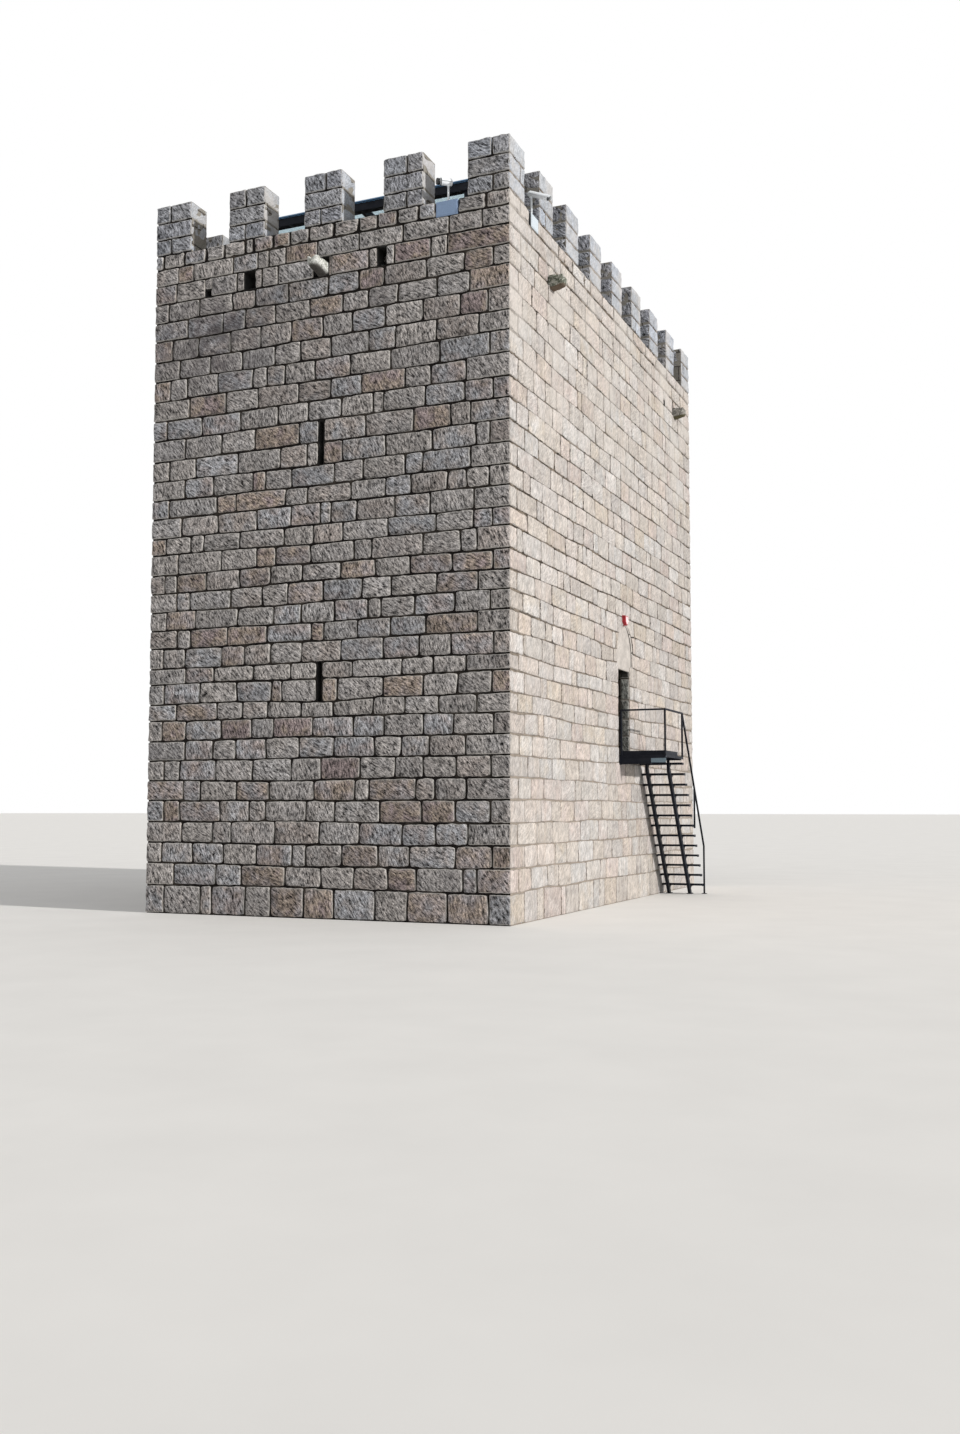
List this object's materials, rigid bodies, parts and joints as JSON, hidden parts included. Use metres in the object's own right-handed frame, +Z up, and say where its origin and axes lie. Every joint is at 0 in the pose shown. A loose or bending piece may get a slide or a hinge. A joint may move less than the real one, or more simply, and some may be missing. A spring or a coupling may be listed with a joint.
{
  "type": "castle keep",
  "caption": "Hollow square-cornered granite keep with a crenellated parapet, stone spouts, an upper doorway reached by a steel stair, and a glazed canopy on top.",
  "frame": {"origin": "on the ground, in the middle of the whole outline with stair and spouts", "axes": "+Z up, -Y out of the short front, +X out of the long side with the door"},
  "size_m": [9, 13.8, 14.204],
  "materials": {
    "granite": "rough pecked grey granite blocks",
    "pale_granite": "rough pecked warm pale granite blocks",
    "mossy_granite": "granite with grey-green lichen",
    "timber": "oiled oak boards",
    "paving": "worn granite paving",
    "dark_steel": "satin near-black paint on steel",
    "white_paint": "white powder coat",
    "grey_paint": "light blue-grey paint",
    "siren_red": "deep red plastic",
    "canopy_glass": "pale blue laminated glass"
  },
  "bodies": {
    "root": {"front_wall": "granite", "back_wall": "granite", "left_wall": "granite", "right_wall_near": "pale_granite", "right_wall_far": "pale_granite", "right_wall_over_door": "pale_granite", "right_wall_under_door": "pale_granite", "door_tympanum": "pale_granite", "door_sill": "pale_granite", "front_parapet": "granite", "back_parapet": "granite", "left_parapet": "granite", "right_parapet": "pale_granite", "corner_merlons": "granite", "front_merlons": "granite", "back_merlons": "granite", "left_merlons": "granite", "right_merlons": "pale_granite", "entry_floor": "timber", "upper_floor": "timber", "roof_deck": "paving", "front_spout": "mossy_granite", "back_spout": "mossy_granite", "left_spouts": "mossy_granite", "right_spouts": "mossy_granite", "canopy_posts": "dark_steel", "canopy_edge_beams": "dark_steel", "canopy_rafters": "dark_steel", "canopy_glass": "canopy_glass", "landing_beams": "dark_steel", "landing_deck": "dark_steel", "landing_near_rail": "dark_steel", "landing_outer_rail": "dark_steel", "landing_toe_boards": "dark_steel", "landing_end_plate": "grey_paint", "stair_stringers": "dark_steel", "stair_treads": "dark_steel", "stair_handrail": "dark_steel", "front_camera_box": "grey_paint", "front_camera": "white_paint", "side_camera_box": "white_paint", "side_camera": "white_paint", "alarm_siren": "siren_red"}
  },
  "joints": []
}
